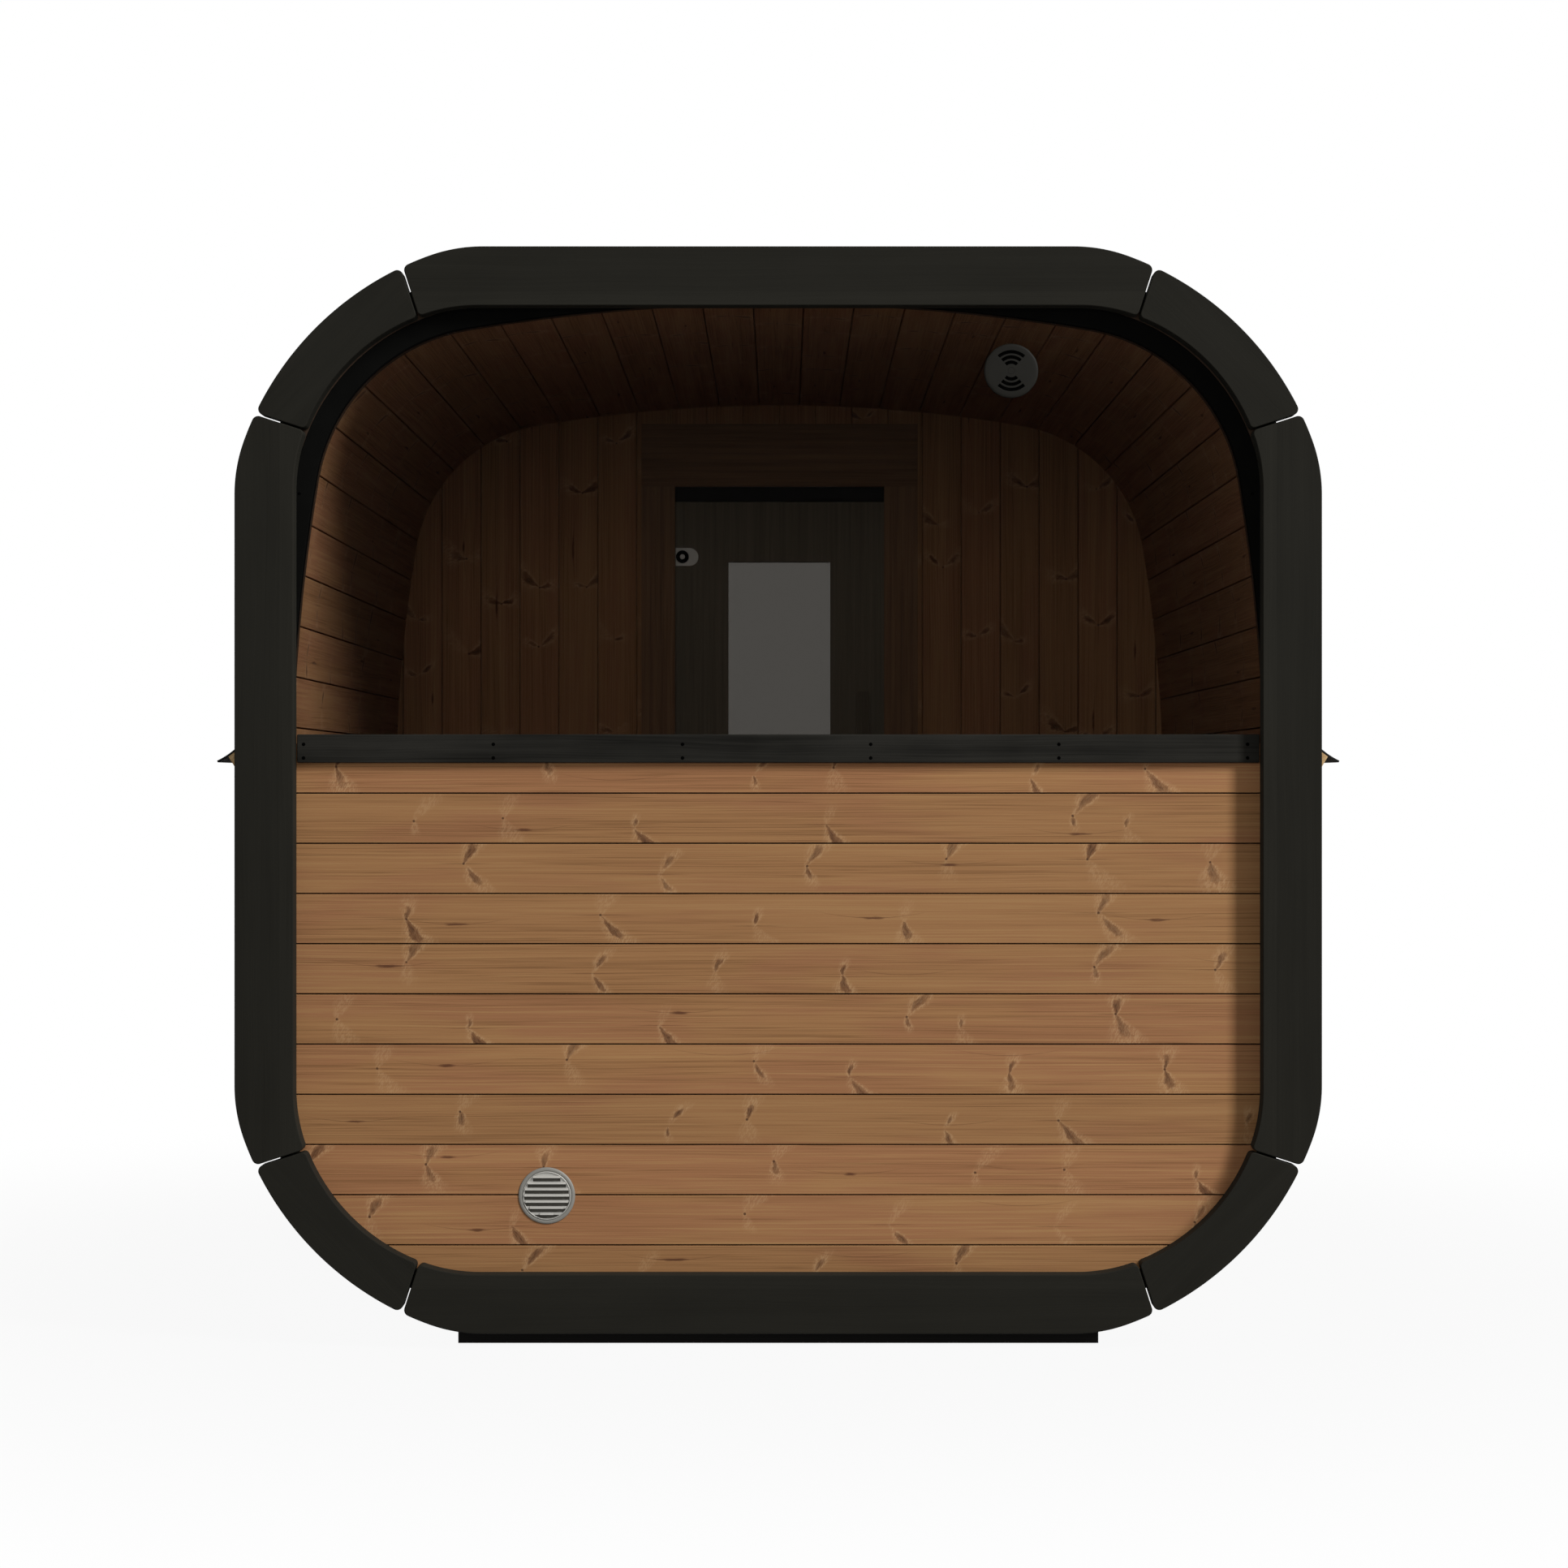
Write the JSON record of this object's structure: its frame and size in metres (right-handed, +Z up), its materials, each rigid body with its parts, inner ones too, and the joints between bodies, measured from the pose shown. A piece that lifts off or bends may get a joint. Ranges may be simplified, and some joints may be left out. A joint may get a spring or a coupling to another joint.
{
  "type": "garden sauna cabin",
  "caption": "Small outdoor sauna cabin with a softly squared stave shell, stained facade frames, a dark upper window and a hinged door at the far end.",
  "frame": {"origin": "on the ground under the middle of the cabin", "axes": "+X across the cabin, to the right when facing the window wall; +Y from the window wall to the door wall; +Z up"},
  "size_m": [2.14, 2, 2.091],
  "materials": {
    "stained_timber": "near-black stained planed timber, satin",
    "thermo_timber": "heat-treated tongue and groove boards, oiled, matt",
    "interior_timber": "planed heat-treated timber, matt",
    "pale_timber": "untreated pale lath",
    "roof_sheet": "black roof sheet, matt",
    "cradle_timber": "black stained bearer",
    "surround_black": "black powder coat, satin",
    "window_glass": "dark tinted toughened glass",
    "vent_aluminium": "pressed aluminium, satin",
    "vent_black": "black moulded plastic, satin",
    "door_timber": "dark stained planed timber",
    "door_glass": "smoke tinted toughened glass",
    "handle_timber": "dark planed handle",
    "hinge_steel": "satin stainless steel"
  },
  "bodies": {
    "cabin": {"cradle_front": "cradle_timber", "cradle_rear": "cradle_timber", "door_casing_head": "interior_timber", "door_casing_left": "interior_timber", "door_casing_right": "interior_timber", "door_head": "door_timber", "eave_lath_left": "pale_timber", "eave_lath_right": "pale_timber", "front_frame_bottom": "stained_timber", "front_frame_corner_lower_left": "stained_timber", "front_frame_corner_lower_right": "stained_timber", "front_frame_corner_upper_left": "stained_timber", "front_frame_corner_upper_right": "stained_timber", "front_frame_left": "stained_timber", "front_frame_right": "stained_timber", "front_frame_top": "stained_timber", "front_wall_left": "thermo_timber", "front_wall_over_door": "thermo_timber", "front_wall_right": "thermo_timber", "front_wall_under_door": "thermo_timber", "hinge_knuckles": "hinge_steel", "louvre_vent": "vent_aluminium", "rear_frame_bottom": "stained_timber", "rear_frame_corner_lower_left": "stained_timber", "rear_frame_corner_lower_right": "stained_timber", "rear_frame_corner_upper_left": "stained_timber", "rear_frame_corner_upper_right": "stained_timber", "rear_frame_left": "stained_timber", "rear_frame_right": "stained_timber", "rear_frame_top": "stained_timber", "rear_sill_rail": "stained_timber", "rear_wall_boards": "thermo_timber", "rear_window_arch": "interior_timber", "rear_window_glass": "window_glass", "rear_window_surround": "surround_black", "roof_cover_left": "roof_sheet", "roof_cover_right": "roof_sheet", "roof_cover_top": "roof_sheet", "shell_ceiling": "thermo_timber", "shell_corner_lower_left": "thermo_timber", "shell_corner_lower_right": "thermo_timber", "shell_corner_upper_left": "thermo_timber", "shell_corner_upper_right": "thermo_timber", "shell_floor": "thermo_timber", "shell_side_left": "thermo_timber", "shell_side_right": "thermo_timber", "window_vent_base": "vent_black"},
    "door": {"door_leaf": "door_timber", "door_light": "door_glass", "door_handles": "handle_timber", "hinge_straps": "hinge_steel", "hinge_clamps": "hinge_steel"},
    "vent_disc": {"window_vent_disc": "vent_black"}
  },
  "joints": [
    {"name": "door_hinge", "type": "hinge", "parent": "cabin", "child": "door", "pos_m": [-0.266, 0.968, 0.98], "axis": [0, 0, 1], "range_deg": [0, 100]},
    {"name": "vent_turn", "type": "hinge", "parent": "cabin", "child": "vent_disc", "pos_m": [0.444, -0.958, 1.86], "axis": [0, 1, 0], "range_deg": [0, 90]}
  ]
}
